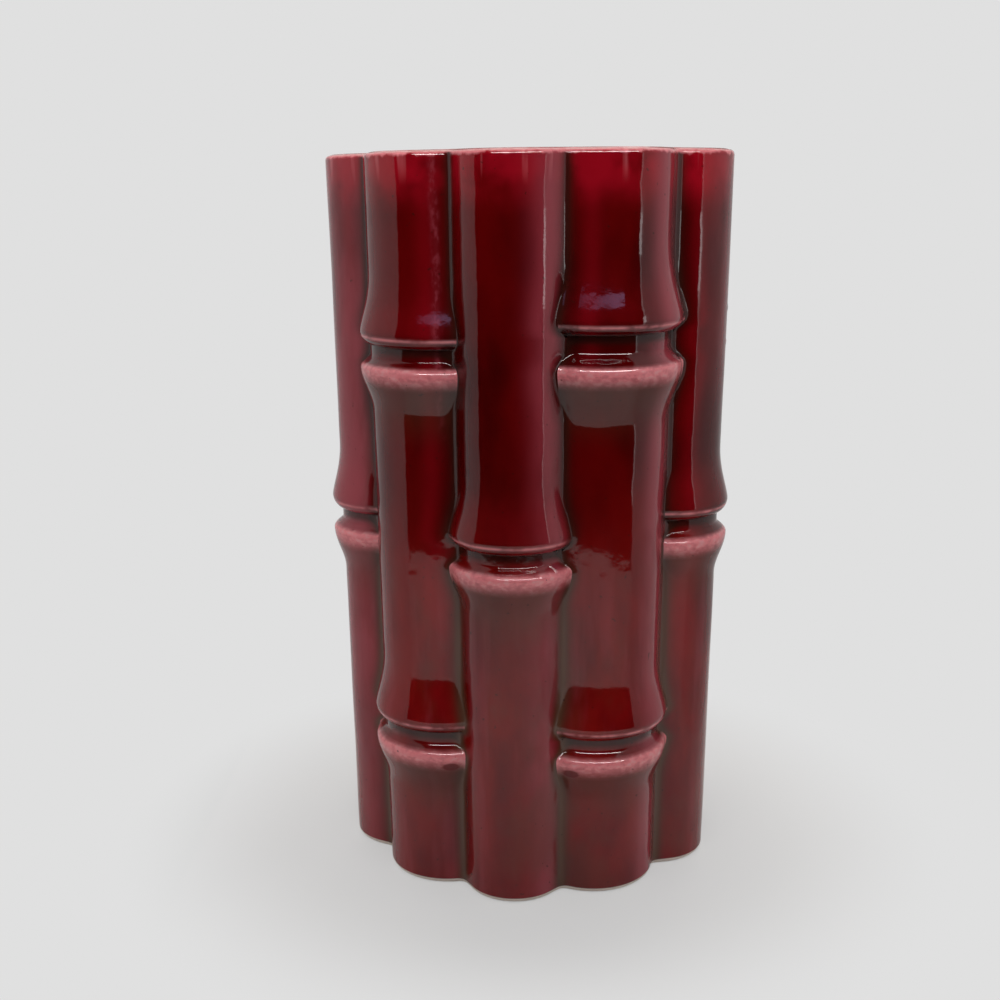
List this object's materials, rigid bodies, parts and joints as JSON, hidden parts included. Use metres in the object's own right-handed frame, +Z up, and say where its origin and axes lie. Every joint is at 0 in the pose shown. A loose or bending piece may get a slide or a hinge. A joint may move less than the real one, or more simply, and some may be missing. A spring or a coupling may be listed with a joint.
{
  "type": "ceramic bamboo vase",
  "caption": "Tall glazed ceramic vase shaped as a ring of upright bamboo canes with flared, staggered nodes, open at the top to hold flowers in water.",
  "frame": {"origin": "centre of the foot, on the surface that the vase stands on", "axes": "+Z up along the vase's axis; -Y is the front, which a one-node cane faces; +X to the right seen from the front"},
  "size_m": [0.141, 0.1455, 0.25],
  "materials": {
    "oxblood_glaze": "glossy deep red glaze, thin and pink on lips and rim, bare cream clay at the foot edge",
    "floor_clay": "the same glaze inside, bare cream clay underneath"
  },
  "bodies": {
    "root": {"cane_01_lower": "oxblood_glaze", "cane_01_upper": "oxblood_glaze", "cane_02_lower": "oxblood_glaze", "cane_02_middle": "oxblood_glaze", "cane_02_upper": "oxblood_glaze", "cane_03_lower": "oxblood_glaze", "cane_03_upper": "oxblood_glaze", "cane_04_lower": "oxblood_glaze", "cane_04_middle": "oxblood_glaze", "cane_04_upper": "oxblood_glaze", "cane_05_lower": "oxblood_glaze", "cane_05_upper": "oxblood_glaze", "cane_06_lower": "oxblood_glaze", "cane_06_middle": "oxblood_glaze", "cane_06_upper": "oxblood_glaze", "cane_07_lower": "oxblood_glaze", "cane_07_upper": "oxblood_glaze", "cane_08_lower": "oxblood_glaze", "cane_08_middle": "oxblood_glaze", "cane_08_upper": "oxblood_glaze", "cane_09_lower": "oxblood_glaze", "cane_09_upper": "oxblood_glaze", "cane_10_lower": "oxblood_glaze", "cane_10_middle": "oxblood_glaze", "cane_10_upper": "oxblood_glaze", "floor": "floor_clay"}
  },
  "joints": []
}
